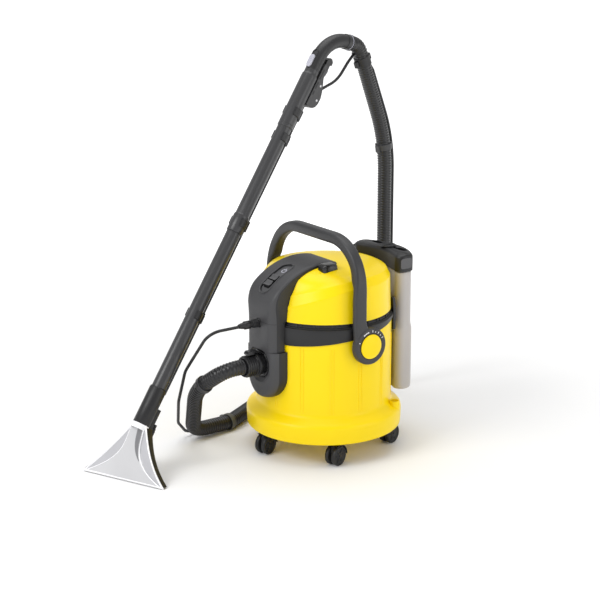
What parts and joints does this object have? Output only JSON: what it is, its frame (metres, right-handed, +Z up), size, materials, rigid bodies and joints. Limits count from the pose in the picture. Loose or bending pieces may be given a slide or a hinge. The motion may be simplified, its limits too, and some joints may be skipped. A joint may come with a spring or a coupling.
{
  "type": "spray extraction carpet cleaner",
  "caption": "Wheeled wet vacuum carpet cleaner: yellow tub on casters, motor head with carrying handle, rear water tank, ribbed hose, wand and fan-shaped spray nozzle.",
  "frame": {"origin": "centre of the round flat underside of the tub's sump, 62 mm above the floor, on the tub's axis", "axes": "+Z up, hose port and front column towards -Y, clean-water tank towards +Y, +X to the right seen from the front"},
  "size_m": [0.5551, 0.9965, 0.9837],
  "materials": {
    "yellow_plastic": "gloss",
    "charcoal_plastic": "satin",
    "black_plastic": "satin",
    "grey_plastic": "satin",
    "pale_plastic": "satin",
    "tank_plastic": "translucent",
    "clear_plastic": "clear",
    "hose_plastic": "ribbed satin",
    "seal_rubber": "matt",
    "steel": "brushed",
    "filter_paper": "pleated paper"
  },
  "bodies": {
    "root": {"container": "yellow_plastic", "container_rim": "black_plastic", "rim_gasket": "seal_rubber", "inlet_housing": "charcoal_plastic", "inlet_socket": "black_plastic", "tank_bracket": "black_plastic", "hose_cuff": "black_plastic", "suction_hose": "hose_plastic", "hose_swivel": "black_plastic", "hose_clips": "black_plastic", "spray_hose": "hose_plastic"},
    "head": {"head_base": "black_plastic", "motor_hood": "yellow_plastic", "front_cover": "charcoal_plastic", "switch_bezel": "grey_plastic", "filter_cassette": "filter_paper", "turbine_motor": "steel", "float_cage": "black_plastic", "pump_body": "steel", "spray_coupling": "black_plastic", "spray_plug": "black_plastic"},
    "handle": {"carry_handle": "charcoal_plastic", "handle_caps": "yellow_plastic"},
    "tank": {"water_tank": "tank_plastic", "tank_grip": "black_plastic", "tank_valve": "black_plastic"},
    "lid": {"tank_lid": "black_plastic"},
    "wand": {"grip_tube": "charcoal_plastic", "valve_body": "grey_plastic", "upper_tube": "charcoal_plastic", "lower_tube": "charcoal_plastic", "tube_clips": "black_plastic", "spray_pipe": "black_plastic", "nozzle_body": "black_plastic", "nozzle_cover": "clear_plastic", "spray_jet": "black_plastic"},
    "slider": {"air_slider": "pale_plastic"},
    "trigger": {"spray_trigger": "grey_plastic"},
    "rocker_a": {"rocker_vacuum": "black_plastic"},
    "rocker_b": {"rocker_spray": "black_plastic"},
    "latch": {"top_latch": "black_plastic"},
    "cuff_catch": {"cuff_latch": "black_plastic"},
    "impeller": {"fan_impeller": "steel"},
    "float": {"float_ball": "pale_plastic"},
    "caster_1": {"caster_fork_1": "black_plastic", "caster_axle_1": "steel"},
    "wheels_1": {"caster_wheels_1": "black_plastic"},
    "caster_2": {"caster_fork_2": "black_plastic", "caster_axle_2": "steel"},
    "wheels_2": {"caster_wheels_2": "black_plastic"},
    "caster_3": {"caster_fork_3": "black_plastic", "caster_axle_3": "steel"},
    "wheels_3": {"caster_wheels_3": "black_plastic"},
    "caster_4": {"caster_fork_4": "black_plastic", "caster_axle_4": "steel"},
    "wheels_4": {"caster_wheels_4": "black_plastic"},
    "caster_5": {"caster_fork_5": "black_plastic", "caster_axle_5": "steel"},
    "wheels_5": {"caster_wheels_5": "black_plastic"}
  },
  "joints": [
    {"name": "handle_swing", "type": "hinge", "parent": "root", "child": "handle", "pos_m": [0, 0, 0.232], "axis": [1, 0, 0], "range_deg": [0, 34]},
    {"name": "head_lift", "type": "slide", "parent": "root", "child": "head", "axis": [0, 0, 1], "range_m": [0, 0.02]},
    {"name": "tank_lift", "type": "slide", "parent": "root", "child": "tank", "axis": [0, 0, 1], "range_m": [0, 0.06]},
    {"name": "lid_open", "type": "hinge", "parent": "tank", "child": "lid", "pos_m": [0, 0.17, 0.4136], "axis": [1, 0, 0], "range_deg": [0, 100]},
    {"name": "wand_swivel", "type": "hinge", "parent": "root", "child": "wand", "pos_m": [-0.19897, 0.20932, 0.89855], "axis": [-0.1677, 0.9513, -0.2588], "range_deg": [-30, 30]},
    {"name": "slider_slide", "type": "slide", "parent": "wand", "child": "slider", "axis": [-0.104, 0.5899, 0.8007], "range_m": [0, 0.015]},
    {"name": "trigger_pull", "type": "hinge", "parent": "wand", "child": "trigger", "pos_m": [-0.18663, 0.13934, 0.85002], "axis": [0.9848, 0.1736, 0], "range_deg": [-10, 0], "stiffness_Nm_per_rad": 0.5},
    {"name": "rocker_vacuum_tip", "type": "hinge", "parent": "head", "child": "rocker_a", "pos_m": [0, -0.1607, 0.36584], "axis": [1, 0, 0], "range_deg": [-8, 8]},
    {"name": "rocker_spray_tip", "type": "hinge", "parent": "head", "child": "rocker_b", "pos_m": [0, -0.14374, 0.37644], "axis": [1, 0, 0], "range_deg": [-8, 8]},
    {"name": "latch_press", "type": "slide", "parent": "head", "child": "latch", "axis": [0, 0, 1], "range_m": [-0.003, 0], "stiffness_N_per_m": 400},
    {"name": "cuff_press", "type": "hinge", "parent": "root", "child": "cuff_catch", "pos_m": [0, -0.207, 0.2094], "axis": [1, 0, 0], "range_deg": [0, 4], "stiffness_Nm_per_rad": 0.5},
    {"name": "impeller_spin", "type": "hinge", "parent": "head", "child": "impeller", "pos_m": [0, 0, 0.323], "axis": [0, 0, 1], "continuous": true},
    {"name": "float_rise", "type": "slide", "parent": "head", "child": "float", "axis": [0, 0, 1], "range_m": [0, 0.012]},
    {"name": "swivel_1", "type": "hinge", "parent": "root", "child": "caster_1", "pos_m": [-0.01651, -0.15713, -0.007], "axis": [0, 0, 1], "continuous": true},
    {"name": "wheel_spin_1", "type": "hinge", "parent": "caster_1", "child": "wheels_1", "pos_m": [-0.01371, -0.16673, -0.0375], "axis": [0.9598, 0.2807, 0], "continuous": true},
    {"name": "swivel_2", "type": "hinge", "parent": "root", "child": "caster_2", "pos_m": [0.14434, -0.06426, -0.007], "axis": [0, 0, 1], "continuous": true},
    {"name": "wheel_spin_2", "type": "hinge", "parent": "caster_2", "child": "wheels_2", "pos_m": [0.14715, -0.07386, -0.0375], "axis": [0.9598, 0.2807, 0], "continuous": true},
    {"name": "swivel_3", "type": "hinge", "parent": "root", "child": "caster_3", "pos_m": [0.10572, 0.11742, -0.007], "axis": [0, 0, 1], "continuous": true},
    {"name": "wheel_spin_3", "type": "hinge", "parent": "caster_3", "child": "wheels_3", "pos_m": [0.10292, 0.12701, -0.0375], "axis": [-0.9598, -0.2807, 0], "continuous": true},
    {"name": "swivel_4", "type": "hinge", "parent": "root", "child": "caster_4", "pos_m": [-0.079, 0.13683, -0.007], "axis": [0, 0, 1], "continuous": true},
    {"name": "wheel_spin_4", "type": "hinge", "parent": "caster_4", "child": "wheels_4", "pos_m": [-0.08181, 0.14643, -0.0375], "axis": [-0.9598, -0.2807, 0], "continuous": true},
    {"name": "swivel_5", "type": "hinge", "parent": "root", "child": "caster_5", "pos_m": [-0.15455, -0.03285, -0.007], "axis": [0, 0, 1], "continuous": true},
    {"name": "wheel_spin_5", "type": "hinge", "parent": "caster_5", "child": "wheels_5", "pos_m": [-0.15174, -0.04245, -0.0375], "axis": [0.9598, 0.2807, 0], "continuous": true}
  ]
}
